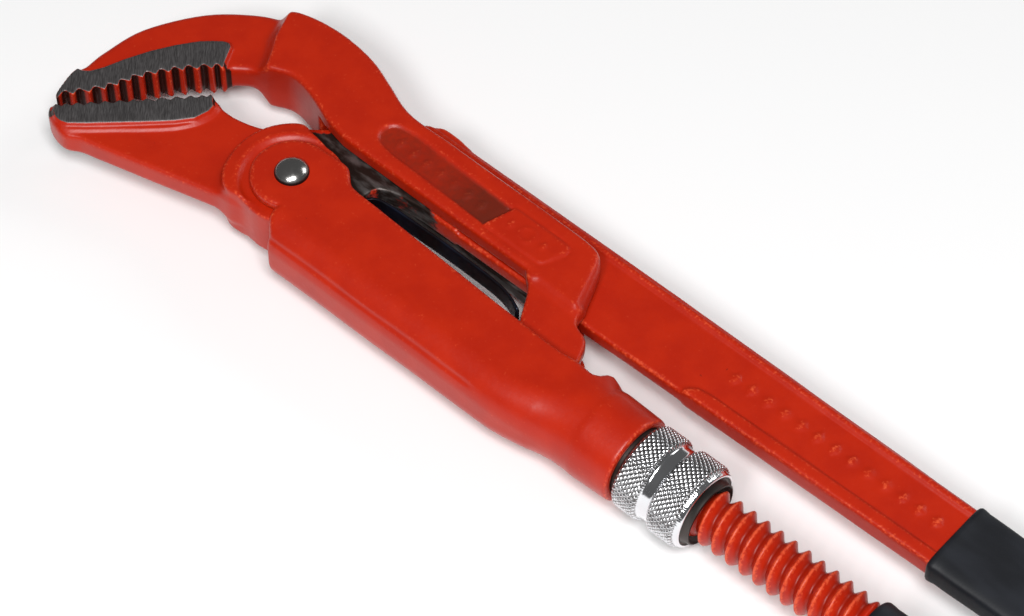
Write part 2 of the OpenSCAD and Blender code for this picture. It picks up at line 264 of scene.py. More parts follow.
def make_piece(name, points, faces, material, body, nodes, marks=None):
    """Puts points in millimetres and faces into a mesh, gives it its finish and joins it to its CAD body."""
    mesh = bpy.data.meshes.new(name)
    mesh.vertices.add(len(points))
    mesh.vertices.foreach_set("co", (points * MM).astype(np.float32).reshape(-1))
    faces = [f for f in (faces if isinstance(faces, list) else [faces]) if len(f)]
    sizes = np.concatenate([np.full(len(f), f.shape[1]) for f in faces])
    corners = np.concatenate([f.reshape(-1) for f in faces])
    mesh.loops.add(len(corners))
    mesh.loops.foreach_set("vertex_index", corners.astype(np.int32))
    mesh.polygons.add(len(sizes))
    mesh.polygons.foreach_set("loop_start", (np.cumsum(sizes) - sizes).astype(np.int32))
    mesh.polygons.foreach_set("loop_total", sizes.astype(np.int32))
    mesh.update(calc_edges=True)
    mesh.polygons.foreach_set("use_smooth", np.ones(len(sizes), bool))
    for mark, values in (marks or {}).items():
        mesh.attributes.new(mark, "FLOAT", "POINT").data.foreach_set("value", values.astype(np.float32))
    mesh.materials.append(material)
    piece = bpy.data.objects.new(name, mesh)
    bpy.context.scene.collection.objects.link(piece)
    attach(piece, body)
    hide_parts(*nodes)


def turned(profile, around, centre, square):
    """A shape turned round a line along X: rows (x, half height, half width) carried round the superellipse
    |y|^square + |z|^square = 1, with the first and last rows as single points."""
    rows = np.array(profile, float)
    angle = np.arange(around) * 2 * math.pi / around
    c, s = np.cos(angle), np.sin(angle)
    y = np.sign(c) * np.abs(c) ** (2 / square)
    z = np.sign(s) * np.abs(s) ** (2 / square)
    grid = np.stack([np.broadcast_to(rows[:, :1], (len(rows), around)),
                     centre + rows[:, 1:2] * y, rows[:, 2:3] * z], 2)
    return close_rows(grid, True)


def round_the_rod(x, radius, angle):
    """Points at the given radius and angle round the rod's axis, one row for each x."""
    return np.stack([np.broadcast_to(x, radius.shape), ROD_Y + radius * np.cos(angle),
                     radius * np.sin(angle)], 2)


def close_rows(grid, poles):
    """Points and faces of a grid of rows that wraps round along each row: the first and last rows shrink to a
    point each, or the last row joins the first."""
    rows, around = grid.shape[:2]
    if not poles:
        i = np.arange(rows)[:, None] * around
        j = np.arange(around)[None, :]
        up = np.roll(i, -1, 0)
        right = (j + 1) % around
        quads = np.stack([i + j, i + right, up + right, up + j], 2).reshape(-1, 4)
        return grid.reshape(-1, 3), [quads]
    middle = grid[1:-1]
    points = np.vstack([grid[0].mean(0), middle.reshape(-1, 3), grid[-1].mean(0)])
    i = 1 + np.arange(rows - 3)[:, None] * around
    j = np.arange(around)[None, :]
    right = (j + 1) % around
    quads = np.stack([i + j, i + right, i + around + right, i + around + j], 2).reshape(-1, 4)
    j, right = j[0], right[0]
    end = 1 + (rows - 3) * around
    first = np.stack([np.zeros_like(j), 1 + right, 1 + j], 1)
    last = np.stack([end + j, end + right, np.full_like(j, len(points) - 1)], 1)
    return points, [quads, first, last]


def outward(points, faces):
    """Turns every face round if the volume that they enclose comes out below zero."""
    volume = 0.0
    for f in faces:
        p = points[f]
        for n in range(1, f.shape[1] - 1):
            volume += np.sum(np.cross(p[:, 0], p[:, n]) * p[:, n + 1])
    return [f[:, ::-1] if volume < 0 else f for f in faces]


# ---- Finishes ----

class Value:
    """A shader socket that can be used in sums: each operation adds one Math node."""

    def __init__(self, finish, socket):
        self.finish, self.socket = finish, socket

    def _math(self, operation, a, b, clamp=False):
        return self.finish.node("ShaderNodeMath", {"operation": operation, "use_clamp": clamp}, {0: a, 1: b})

    def __add__(self, other): return self._math("ADD", self, other)
    def __radd__(self, other): return self._math("ADD", other, self)
    def __sub__(self, other): return self._math("SUBTRACT", self, other)
    def __rsub__(self, other): return self._math("SUBTRACT", other, self)
    def __mul__(self, other): return self._math("MULTIPLY", self, other)
    def __rmul__(self, other): return self._math("MULTIPLY", other, self)

    def above(self, low, high):
        """0 below low and 1 above high, with a smooth rise between them."""
        return self.finish.node("ShaderNodeMapRange", {"interpolation_type": "SMOOTHSTEP"},
                                {"Value": self, "From Min": low, "From Max": high})

    def clamped(self):
        return self._math("MAXIMUM", self, 0.0, True)


class Finish:
    """One procedural material and the nodes that are added to it."""

    def __init__(self, name):
        self.material = bpy.data.materials.new(name)
        self.material.use_nodes = True
        self.tree = self.material.node_tree
        self.tree.nodes.clear()
        self.out = self.tree.nodes.new("ShaderNodeOutputMaterial")
        self.shader = self.tree.nodes.new("ShaderNodeBsdfPrincipled")
        self.tree.links.new(self.shader.outputs[0], self.out.inputs["Surface"])
        place = self.node("ShaderNodeTexCoord", {}, {}, "Object")
        self.place = self.node("ShaderNodeVectorMath", {"operation": "SCALE"}, {0: place, "Scale": 1 / MM})

    def node(self, kind, settings, inputs, output=0):
        new = self.tree.nodes.new(kind)
        for key, value in settings.items():
            setattr(new, key, value)
        self.feed(new, inputs)
        return Value(self, new.outputs[output])

    def feed(self, node, inputs):
        for key, value in inputs.items():
            if isinstance(value, Value):
                self.tree.links.new(value.socket, node.inputs[key])
            else:
                node.inputs[key].default_value = value

    def look(self, **inputs):
        self.feed(self.shader, {key.replace("_", " "): value for key, value in inputs.items()})

    def mark(self, name):
        return self.node("ShaderNodeAttribute", {"attribute_name": name}, {}, "Fac")

    def noise(self, size, detail=2.0, stretch=None, turn=0.0):
        """Cloudy noise with lumps of the given size in millimetres, drawn out by stretch and turned about Z."""
        place = self.place
        if stretch:
            place = self.node("ShaderNodeMapping", {"vector_type": "TEXTURE"}, {
                "Vector": place, "Rotation": (0, 0, turn), "Scale": stretch})
        return self.node("ShaderNodeTexNoise", {}, {
            "Vector": place, "Scale": 1 / size, "Detail": detail})

    def mix(self, factor, a, b):
        """Colour a where the factor is 0 and colour b where it is 1."""
        wide = [tuple(c) + (1.0,) if isinstance(c, (tuple, list)) and len(c) == 3 else c for c in (a, b)]
        return self.node("ShaderNodeMix", {"data_type": "RGBA"}, {0: factor, 6: wide[0], 7: wide[1]}, 2)

    def bump(self, height, strength, distance):
        return self.node("ShaderNodeBump", {}, {
            "Height": height, "Strength": strength, "Distance": distance * MM})


def painted_forging(name, colours):
    """Orange-red paint on a forging: soft mottling, paler edges that are both worn paint and painted highlight,
    corners darkened by painted shade and soiling, a few dark specks and a fine dimpled surface, with ground steel
    where the mark bare is above zero."""
    f = Finish(name)
    cloud = f.noise(9.0, 3.0)
    fine = f.noise(0.55, 2.0)
    grain = f.noise(1.4, 3.0)
    colour = f.mix(cloud.above(0.3, 0.7), colours.paint_deep[:], colours.paint[:])
    edge = f.mark("edge")
    # Painted highlight and wear: edges that bend outwards are paled towards the edge colour.
    rubbed_and_highlit = (edge * 11.0 + (f.noise(0.8, 2.0) - 0.5) * 2.0).above(0.3, 1.0)
    colour = f.mix(rubbed_and_highlit * 0.8, colour, colours.paint_edge_wear_and_highlight[:])
    # Painted shade and dirt: corners and hollows, where the bend mark is below zero, are darkened.
    corner_shade_and_dirt = (edge * -7.0 + (cloud - 0.5) * 0.2).above(0.12, 1.4)
    colour = f.mix(corner_shade_and_dirt * 0.6, colour, colours.paint_shade[:])
    speck = f.noise(1.9, 1.0).above(0.79, 0.83) * f.noise(21.0, 1.0).above(0.5, 0.58)
    colour = f.mix(speck * 0.75, colour, (0.03, 0.006, 0.004))
    # Dirt in the sunk panel and painted shade low between the teeth darken the paint.
    grime_and_shade = (f.mark("grime_and_shade") + (grain - 0.5) * 0.3).above(0.15, 1.0) * (0.6 + cloud * 0.35)
    colour = f.mix(grime_and_shade, colour, (0.055, 0.013, 0.006))
    # Painted shade: only the gullet walls, marked above 1, turn near-black.
    colour = f.mix(f.mark("grime_and_shade").above(0.95, 1.5) * 0.9, colour, (0.012, 0.004, 0.003))
    lines = f.noise(0.16, 3.0, (14.0, 1.0, 1.0), math.radians(131.5))
    blotch = f.noise(3.2, 3.0)
    bare = (f.mark("bare") * 2.2 + (grain - 0.5) * 1.1).above(-0.15, 0.15)
    steel = f.mix(lines.above(0.3, 0.72), (0.115, 0.107, 0.107), (0.25, 0.235, 0.235))
    steel = f.mix(blotch.above(0.55, 0.85) * 0.35, steel, (0.10, 0.085, 0.085))
    colour = f.mix(bare, colour, steel)
    # Rubbed bare, oily steel on the flat sides; the same mark also lays painted shade on the far cage plate's lower
    # wall.
    rub_and_shade = (f.mark("rub_and_shade") + (grain - 0.5) * 0.8).above(0.35, 0.65)
    oiled_steel_and_shade = f.mix(f.noise(2.4, 3.0, (3.0, 1.0, 1.0)).above(0.45, 0.72), (0.035, 0.022, 0.018),
                  (0.17, 0.155, 0.15))
    colour = f.mix(rub_and_shade, colour, oiled_steel_and_shade)
    metal = (bare + rub_and_shade * 0.8).clamped()
    rough = (0.36 + (grain - 0.5) * 0.12) * (1 - metal) + (0.44 + (lines - 0.5) * 0.25) * metal
    skin = fine * 0.35 + grain * 0.65
    height = skin * (1 - metal) + lines * 0.45 * metal
    f.look(Base_Color=colour, Roughness=rough, Metallic=metal * 0.85, Normal=f.bump(height, 0.32, 0.16),
           Specular_IOR_Level=0.35)
    return f.material


def chromed_steel(name):
    """Bright chrome with dark gunk low in the knurl, painted shade on the inner faces, and faint turning lines on
    the smooth rings.
    """
    f = Finish(name)
    low = f.mark("low")
    rings = f.noise(0.25, 2.0, (1.0, 30.0, 30.0))
    dirt_and_shade = (low * 1.2 + (f.noise(1.6, 2.0) - 0.5) * 0.8).above(0.35, 1.15)
    colour = f.mix(dirt_and_shade, (0.84, 0.845, 0.87), (0.09, 0.08, 0.075))
    f.look(Base_Color=colour, Metallic=1.0, Roughness=0.13 + dirt_and_shade * 0.3 + (rings - 0.5) * 0.06,
           Normal=f.bump(rings, 0.12, 0.05))
    return f.material


def polished_rivet(name):
    """Bright rolled steel with small dents and a rim darkened as painted shade where each dome meets the ear."""
    f = Finish(name)
    dents = f.noise(0.9, 3.0)
    rim = (f.mark("rim") + (dents - 0.5) * 0.25).above(0.45, 1.0)
    colour = f.mix(rim, (0.55, 0.535, 0.52), (0.035, 0.028, 0.026))
    f.look(Base_Color=colour, Metallic=1.0, Roughness=0.2 + rim * 0.3 + (dents - 0.5) * 0.15,
           Normal=f.bump(dents, 0.2, 0.1))
    return f.material


def spring_steel_and_gap_shade(name):
    """Blue-black heat-treated spring steel with fine lengthwise scratches; its near-black colour and blue cast also
    paint the shade and bluish sheen of the gap under the shank.
    """
    f = Finish(name)
    lines = f.noise(0.3, 3.0, (20.0, 1.0, 1.0))
    blue_cast_and_sheen = f.noise(12.0, 2.0)
    # Near-black with a blue cast: blued steel colour, and painted bluish sheen where the spring fills the dark gap.
    colour = f.mix(blue_cast_and_sheen.above(0.35, 0.65), (0.018, 0.016, 0.02), (0.022, 0.032, 0.06))
    colour = f.mix(lines.above(0.62, 0.8) * 0.35, colour, (0.14, 0.14, 0.15))
    f.look(Base_Color=colour, Metallic=0.75, Roughness=0.34 + (lines - 0.5) * 0.2,
           Normal=f.bump(lines, 0.15, 0.05))
    return f.material


def dipped_vinyl(name, colours):
    """Black dipped coating: matt with a fine pebbled skin and soft runs."""
    f = Finish(name)
    pebble = f.noise(0.45, 2.0)
    runs = f.noise(7.0, 2.0, (3.0, 1.0, 1.0))
    colour = f.mix(runs.above(0.35, 0.7), colours.grip[:], tuple(1.8 * c for c in colours.grip))
    f.look(Base_Color=colour, Roughness=0.52 + (pebble - 0.5) * 0.16 + (runs - 0.5) * 0.12,
           Specular_IOR_Level=0.35,
           Normal=f.bump(pebble * 0.6 + runs * 0.9, 0.3, 0.12))
    return f.material


def plain_steel(name):
    """Turned bright steel with fine lines and dull stains, for the small pieces inside."""
    f = Finish(name)
    lines = f.noise(0.2, 2.0, (1.0, 12.0, 12.0))
    stain = f.noise(2.5, 3.0)
    colour = f.mix(stain.above(0.4, 0.75), (0.42, 0.41, 0.4), (0.2, 0.18, 0.165))
    f.look(Base_Color=colour, Metallic=1.0, Roughness=0.3 + (stain - 0.5) * 0.2,
           Normal=f.bump(lines, 0.15, 0.05))
    return f.material


# ---- Settings ----

class WrenchForging(bpy.types.PropertyGroup):
    """Sizes of the forged pieces."""
    cell: FloatProperty(name="Grid",
                        description="Spacing of the grid that the forgings are worked out on, in mm",
                        default=0.50, min=0.3, max=1.5)
    edge: FloatProperty(name="Edge rounding", description="Rounding of the forged edges, in mm",
                        default=1.5, min=0.3, max=3.0)
    fillet: FloatProperty(name="Fillet", description="Fillet where forged levels meet, in mm",
                          default=1.6, min=0.3, max=4.0)
    teeth: IntProperty(name="Teeth", description="Teeth on each jaw", default=12, min=6, max=20)
    tooth_depth: FloatProperty(name="Hook tooth depth", description="Depth of a tooth on the hook, in mm",
                               default=1.9, min=0.5, max=3.0)
    lower_tooth_depth: FloatProperty(name="Lower tooth depth",
                                     description="Depth of a tooth on the lower jaw, in mm",
                                     default=1.1, min=0.5, max=3.0)


class WrenchNut(bpy.types.PropertyGroup):
    """Sizes of the adjusting nut."""
    diamonds: IntProperty(name="Diamonds", description="Knurl diamonds round the nut", default=48, min=30,
                          max=120)
    depth: FloatProperty(name="Knurl depth", description="Depth of the knurl, in mm", default=0.42, min=0.1,
                         max=0.8)
    groove: FloatProperty(name="Groove", description="Depth of the smooth groove, in mm",
                          default=1.4, min=0.5, max=2.5)


class WrenchColours(bpy.types.PropertyGroup):
    """Colours of the finishes."""
    paint: FloatVectorProperty(name="Paint", description="Orange-red paint", subtype="COLOR", size=3,
                               default=(0.47, 0.0175, 0.0022), min=0, max=1)
    paint_deep: FloatVectorProperty(name="Paint, thick", description="Paint where it lies thick",
                                    subtype="COLOR",
                                    size=3, default=(0.42, 0.0135, 0.0018), min=0, max=1)
    # Colour of the paler edges: worn paint and painted highlight.
    paint_edge_wear_and_highlight: FloatVectorProperty(name="Paint, edges", description="Paint rubbed thin on edges",
                                    subtype="COLOR",
                                    size=3, default=(0.74, 0.095, 0.032), min=0, max=1)
    # Colour of the painted shade and dirt in corners.
    paint_shade: FloatVectorProperty(name="Paint, corners", description="Paint and dirt in corners",
                                     subtype="COLOR", size=3, default=(0.14, 0.006, 0.002), min=0, max=1)
    grip: FloatVectorProperty(name="Grip", description="Dipped grip", subtype="COLOR", size=3,
                              default=(0.008, 0.009, 0.012), min=0, max=1)


class WrenchStage(bpy.types.PropertyGroup):
    """Camera and light."""
    lens: FloatProperty(name="Lens", description="Focal length on a 36 mm sensor", default=121.8, min=20,
                        max=300)
    key: FloatProperty(name="Key light", description="Power of the large soft light", unit="POWER",
                       default=14.3, min=0, max=500)
    fill: FloatProperty(name="Fill light", description="Power of the low front light", unit="POWER",
                        default=6.8, min=0, max=500)
    rim: FloatProperty(name="Rim light", description="Power of the light beyond the crown", unit="POWER",
                       default=4.0, min=0, max=500)
    sky: FloatProperty(name="Room light", description="Strength of the even light from all round",
                       default=0.1, min=0, max=5)


class WrenchSettings(bpy.types.PropertyGroup):
    """All settings of the wrench."""
    forging: PointerProperty(type=WrenchForging)
    nut: PointerProperty(type=WrenchNut)
    colours: PointerProperty(type=WrenchColours)
    stage: PointerProperty(type=WrenchStage)


def wave(x, y):
    """Slow unevenness of a forged surface, in millimetres: a sum of a few crossed sine waves."""
    return 0.035 * np.sin(0.21 * x + 0.13 * y) + 0.025 * np.sin(0.33 * y - 0.15 * x + 1.0)


def lozenges(x, y, start, stop, step, height, size):
    """A row of raised lozenges between two points, 1 on each and 0 between them."""
    (ax, ay), (bx, by) = start, stop
    length = math.hypot(bx - ax, by - ay)
    u = ((x - ax) * (bx - ax) + (y - ay) * (by - ay)) / length
    v = ((y - ay) * (bx - ax) - (x - ax) * (by - ay)) / length
    w = np.abs((u + step / 2) % step - step / 2)
    shape = w / size + np.abs(v) / height - 1
    return np.where((u > -size) & (u < length + size), np.clip(-shape * 2.2, 0, 1), 0)


def steps(*spans):
    """Grid lines: each span gives its end and spacing, from the last one's end."""
    lines = [np.array([spans[0]])]
    for stop, gap in spans[1:]:
        begin = lines[-1][-1]
        count = max(1, round((stop - begin) / gap))
        lines.append(begin + (stop - begin) * np.arange(1, count + 1) / count)
    return np.concatenate(lines)


LOWER_TEETH = [(16.4, 4.6), (2, -10.5), (-12.2, -25)]
UPPER_TEETH = [(12.6, 13.1), (5.2, 5.4), (-1.3, -3.4), (-5.9, -13.2), (-13, -22.6)]
# Edges of the ground faces, carried past the teeth and past the tips
LOWER_GROUND = [(16.4, 6), (18.7, 3.3), (20.1, 2.2), (20.4, 0), (19.3, -4.2), (15.7, -8.6), (10, -14.2),
                (4.2, -19.7),
                (-1.7, -25.2), (-5.4, -28.3), (-7.2, -28.9), (-9.2, -28.8), (-11.2, -27.7), (-12.3, -26.2),
                (-13.5, -24), (-2, -10), (10, 4)]
UPPER_GROUND = [(-20, -26), (-20, -12.6), (-15.8, -12.7), (-13.9, -11.4), (-11.9, -7.9), (-9.6, -1.8),
                (-6.6, 4.6),
                (-3, 10.5), (1, 15.9), (3.4, 18.2), (6, 20.4), (7.7, 21), (9.1, 20.3), (11.7, 15),
                (13.4, 12.4), (8, 0),
                (0, -14), (-8, -26)]
# Half thickness across the ground faces, and of the painted webs beside them
PAD_HALF = 5.35
LOWER_WEB_HALF = 4.3
UPPER_WEB_HALF = 4.2


class WRENCH_OT_lever(bpy.types.Operator):
    """Make the jaw lever: lower jaw, boss, neck and shank"""
    bl_idname = "wrench.lever"
    bl_label = "Jaw lever"

    def execute(self, context):
        s = context.scene.wrench
        g, c = s.forging, s.forging.cell
        block = Block(steps(-19.5, (22, c * 0.72), (76, c * 1.2), (256, c * 1.6), (404.2, 4.5)),
                      steps(-33.5, (-29, c), (8, c * 0.76), (40.9, c)),
                      steps(0.0, (3.0, c * 1.2), (5.8, c * 0.6), (9.8, c)))
        x, y = block.x, block.y
        jaw = block.away(np.vstack([
            tooth_run(LOWER_TEETH, 1, g.teeth, g.lower_tooth_depth, 0.43),
            smooth_run([(-12.3, -25.4), (-13.6, -26.6), (-12.6, -28.4), (-9.3, -30), (-4.3, -30.74),
                        (-0.3, -28.8),
                        (4, -27.7)]),
            [(40.9, -17.9), (54, -15.5), PIVOT, (43, 9)],
            smooth_run([(38.4, 11), (34.4, 6.8), (26, 4.3), (18, 4.5)])]))
        shank = block.away(np.vstack([
            [(40.7, 12.4), (58, 27), (66, 36.5)],
            smooth_run([(68.1, 37.8), (70.7, 39.2), (75.7, 39.2), (81.7, 38.3)]),
            [(154, 38.0), (248, 36.8), (397, 35.8), (401.5, 34.3), (403, 29.8), (403, 23), (401.5, 18.5),
             (397, 17),
             (248, 16.1), (144, 14.9)],
            smooth_run([(84.7, 14.8), (76.7, 13.8), (71.7, 11.8), (70.2, 8)]),
            [(70.2, -9), (62.7, -12), PIVOT, (44.7, 6)]]))
        from_pivot = np.hypot(x - PIVOT[0], y - PIVOT[1])
        ground = block.away(LOWER_GROUND)
        rim = block.away(np.vstack([smooth_run([(-15, -26), (-13.6, -28), (-8, -30.6), (-4, -29.9),
                                                (0.2, -26.6),
                                                (6, -21.2), (11.8, -16), (17.4, -10.4), (21, -5), (22.3, 0),
                                                (21.6, 3.6),
                                                (18.5, 8)]), [(9, 8), (-4, -6), (-20, -20)]]))
        web = LOWER_WEB_HALF - 0.75 + 0.75 * ramp(rim, 1.4) + wave(x, y)
        half = web + (PAD_HALF - LOWER_WEB_HALF) * ramp(ground - 0.7, 1.1)
        half = np.where(ground < -0.2, PAD_HALF, half)
        teeth_edge = np.clip((ground + 0.6) / 3, 0, 1)
        field = block.plate(jaw, half, 0.15 + (g.edge - 0.15) * teeth_edge)
        panel = block.away([(96, 35.9), (300, 34.0), (300, 19.9), (180, 18.9), (176, 18.3), (174, 16.6),
                            (173.6, 14),
                            (173.6, 8), (96, 8)])
        top_line = block.away([(66, 50), (66, 37.0), (150, 36.4), (300, 35.2), (300, 50)])
        relief = lozenges(x, y, (181, 27.6), (246, 27.2), 5.4, 2.7, 1.9)
        bar = 3.25 - 0.85 * ramp(panel, 0.9) - 0.45 * ramp(top_line, 0.6) + 0.4 * relief + wave(x, y) * 0.7
        field = either(field, block.plate(shank, bar, 1.0), g.fillet)
        field = either(field, block.plate(from_pivot - BOSS_R, BOSS_HALF, 0.8), 0.8)
        land = block.away(smooth_run([(51.5, 10), (44, 12.5), (38, 8.5), (35.8, 2), (35.6, -5), (37.5, -12),
                                      (40.5, -15.6),
                                      (44.5, -17.4), (48, -16.6), (51.5, -14.6)], 4))
        land = both(land, from_pivot - 19.2, 1.0)
        collar = both(land, 14.7 + 2 * wave(x, y) - from_pivot, 0.8)
        field = either(field, block.plate(collar, 8.35 + wave(x, y), 1.3), 3.0)
        field = np.maximum(field, (RIVET_HOLE_R - from_pivot)[..., None])
        points, faces = block.skin(field)
        finish_forging("jaw_lever_forging", points, faces, s.colours, "lever", ["jaw_lever"],
                       LOWER_GROUND,
                       gullets=(LOWER_TEETH, 1, 0.5 * g.lower_tooth_depth),
                       rub_and_shade=[[(34, 9), (44, 15), (55, 24), (64, 22), (82, 18.4), (92, 15.6), (92, 13.2),
                             (78, 12.4),
                             (72, 10), (72, -10), (60, -12), (50, 8)]])
        return {"FINISHED"}


def finish_forging(name, points, faces, colours, body, nodes, ground=None, rub_and_shade=(), grime_and_shade=None, shaded=None,
                   gullets=None):
    """Works out the marks of a forging and makes it a piece: edge is how sharply it bends, bare is how far
    inside the ground face a point lies, rub_and_shade is 1 where the paint has been worn off a flat side and is
    also raised at the shaded points as painted shade, and grime_and_shade is the soiling in the sunk panel and,
    more strongly, painted shade low between the teeth."""
    normals = surface_normals(points, faces)
    px, py, pz = points.T
    flat = (np.abs(normals[:, 2]) - 0.8) * 6
    marks = {"edge": bend(points, faces, normals),
             "bare": np.full(len(px), NEVER_BARE),
             "rub_and_shade": np.zeros(len(px)), "grime_and_shade": np.zeros(len(px))}
    if ground is not None:
        marks["bare"] = np.minimum(-signed_distance(ground, px, py), flat)
    for area in rub_and_shade:
        inside = ramp(signed_distance(area, px, py), 3.0)
        marks["rub_and_shade"] = np.maximum(marks["rub_and_shade"], inside * (np.abs(pz) < SIDE_LEVEL))
    if grime_and_shade is not None:
        marks["grime_and_shade"] = grime_and_shade(px, py) * (np.abs(normals[:, 2]) > 0.4)
    # Painted shade: tooth walls low in the gullets are marked above 1 and come out near-black.
    if gullets is not None:
        tips, side, deep = gullets
        run = smooth_run(tips, 12)
        depth = signed_distance(np.vstack([run + (side * -9.0, side * 9.0), run[::-1]]), px, py)
        walls = (np.abs(normals[:, 2]) < 0.75) & (np.abs(depth) < 4) & (py < 15)
        marks["grime_and_shade"] = np.maximum(marks["grime_and_shade"], walls * np.clip((depth - deep) / 0.5 + 0.5, 0, 1) * 1.7)
    # Painted shade: the shaded points get the dark oily colour of the rubbed sides.
    if shaded is not None:
        marks["rub_and_shade"] = np.maximum(marks["rub_and_shade"], shaded(px, py, pz))
    material = painted_forging(name + "_paint", colours)
    make_piece(name, points, faces, material, body, nodes, marks)


class WRENCH_OT_hook(bpy.types.Operator):
    """Make the hook jaw: hook, shoulder, cage with its two plates, and leg"""
    bl_idname = "wrench.hook"
    bl_label = "Hook jaw"

    def execute(self, context):
        s = context.scene.wrench
        g, c = s.forging, s.forging.cell
        block = Block(steps(-21.5, (18, c * 0.72), (152.5, c * 1.3)),
                      steps(-26.5, (15, c * 0.76), (44, c)), steps(0.0, (3.0, c * 1.2), (5.8, c * 0.6), (9.9,
                          c)))
        x, y = block.x, block.y
        hook = block.away(np.vstack([
            smooth_run([(-13.4, -24.2), (-14.9, -22.7), (-16.4, -17.8), (-16.9, -15), (-16.9, -9.4),
                        (-16.8, -3),
                        (-14.6, 9.8), (-5.6, 24.9), (5.3, 34.4), (14.4, 38.6)]),
            [(26, 40), (30, 30), (28, 23)],
            smooth_run([(24, 21), (18.6, 18.6), (15, 16), (13.4, 14.4)]),
            tooth_run(UPPER_TEETH, -1, g.teeth, g.tooth_depth, 0.62)]))
        ground = block.away(UPPER_GROUND)
        half = UPPER_WEB_HALF + wave(x, y) + (PAD_HALF - UPPER_WEB_HALF) * ramp(ground - 0.8, 1.2)
        half = np.where(ground < -0.2, PAD_HALF, half)
        teeth_edge = np.clip((ground + 0.6) / 3, 0, 1)
        field = block.plate(hook, half, 0.15 + (1.5 * g.edge - 0.15) * teeth_edge)
        cage = block.away(np.vstack([
            smooth_run([(6.5, 28), (9.5, 34), (13.6, 38.2), (17.2, 40.3), (24.6, 41.9), (33.5, 42.1),
                        (43.5, 40.6),
                        (52.3, 37.5), (60.5, 34.3), (67.2, 33.3), (76.5, 33.4)]),
            smooth_run([(124, 32.8), (129.8, 32.2), (133, 30.4), (135.6, 26.6), (140, 16)]),
            [(140.4, 12.6), (122.4, 13.6), (120.6, 15.1), (62, 15.6)],
            smooth_run([(55, 15.8), (47.1, 17.6), (38, 20.9), (30, 22.2), (23, 19.6), (17, 19)])]))
        front = signed_distance([(13.6, 46), (14.6, 37.5), (17.6, 29.5), (20.6, 24.6), (23.4, 19), (25, 12),
                                 (200, 12),
                                 (200, 60)], x, y)
        rise = np.clip(1 - np.maximum(front, 0) / 6.0, 0, 1) ** 2.2
        plate = 3.6 + (CAGE_HALF - 3.6) * rise
        panel_outline = np.vstack([
            smooth_run([(70, 29.6), (63.5, 28.6), (61, 25), (62.8, 21), (69, 19.6)], 4),
            [(102.9, 18.3), (105.8, 27.7)]])
        panel = block.away(panel_outline)
        label = block.away(np.vstack([
            smooth_run([(104.6, 26.6), (105.6, 28.3), (107.4, 28.5), (123, 28.3), (125.4, 27.4), (126, 25)], 3),
            smooth_run([(123.6, 19.4), (122.6, 18.2), (121, 18), (104.4, 18.1), (102.6, 18.8), (102.4, 20.2)],
                       3)]))
        marks = lozenges(x, y, (68, 24.6), (98, 23.3), 5.0, 2.6, 1.7) * 0.3
        sign = np.clip(1.2 - np.abs(np.hypot(x - 114, y - 23.2) - 2.3) / 0.45, 0, 1) + lozenges(
            x, y, (108.4, 23.2), (119.6, 23.2), 11.2, 2.2, 1.1)
        plate = plate - 0.75 * ramp(panel, 0.9) + panel_lift(panel, marks) + 0.28 * ramp(label,
            0.8) - 0.22 * np.exp(
            -(label / 0.45) ** 2) + 0.3 * np.clip(sign, 0, 1) * (label < -1)
        foot = signed_distance([(118, 9), (122.3, 13.4), (125, 15.8), (139, 15.3), (141.4, 14), (150, 9)], x, y)
        plate = plate - 0.9 * ramp(foot, 2.0) + wave(x, y)
        rear = np.clip((x + 0.34 * (y - 27) - 133.2) / 3.4, 0, 1)
        plate = plate - 3.6 * rear ** 1.6
        field = either(field, block.plate(cage, plate, g.edge), 1.0)
        leg = block.away(np.vstack([
            [(121, 16), (125.6, 9.9), (129.6, 2.4), (131.5, -3), (131.5, -12), (134.5, -15), (147.5, -15),
             (151, -12),
             (151, -0.6)], smooth_run([(149.2, 3.7), (146.7, 8.7), (141.5, 11.2), (139.6, 16)], 4)]))
        field = either(field, block.plate(leg, LEG_HALF - 0.15 + wave(x, y), 1.1), 1.2)
        slot = block.away([(34.2, 7.6), (58, 37.5), (58, 60), (170, 60), (170, 3), (118, 3), (118, 0),
                           (34.2, 0)])
        field = both(field, -both(slot[..., None], block.z - SLOT_HALF, 0.4), 0.7)
        points, faces = block.skin(field)
        finish_forging("hook_jaw_forging", points, faces, s.colours, "slider", ["hook_jaw"],
                       UPPER_GROUND,
                       gullets=(UPPER_TEETH, -1, 0.45 * g.tooth_depth),
                       grime_and_shade=lambda px, py: ramp(signed_distance(panel_outline, px, py) - 0.4, 1.6)
                       * (0.6 + 0.4 * ramp(80 - px, 25)),
                       # Painted shade on the far plate's lower wall, seen through the gap under the shank.
                       shaded=lambda px, py, pz: ((pz < -3) & (py < 17.2) & (px > 58) & (px < 121)) * 1.0)
        return {"FINISHED"}


def panel_lift(panel, marks):
    """The worn relief in the sunk panel, which fades out near the panel's edge."""
    return marks * np.clip(-panel / 1.5, 0, 1)


